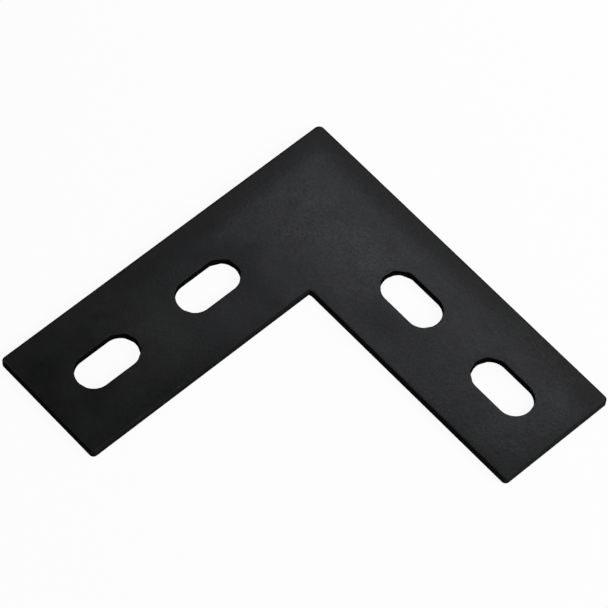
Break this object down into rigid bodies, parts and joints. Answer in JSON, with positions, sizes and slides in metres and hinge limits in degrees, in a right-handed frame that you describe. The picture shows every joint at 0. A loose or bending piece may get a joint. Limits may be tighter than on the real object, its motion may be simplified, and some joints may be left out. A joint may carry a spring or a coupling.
{
  "type": "flat corner brace",
  "caption": "Flat L-shaped corner brace with slots along both arms, bolted across a joint to hold two rails or profiles at a right angle.",
  "frame": {"origin": "where the centrelines of the two arms cross, on the seating face", "axes": "+X along one arm and +Y along the other, +Z out of the coated upper face, away from what the brace is bolted to"},
  "size_m": [0.1, 0.1, 0.0022],
  "materials": {
    "black_coat": "satin black powder coat on steel, with a fine orange peel"
  },
  "bodies": {
    "root": {"brace_plate": "black_coat"}
  },
  "joints": []
}
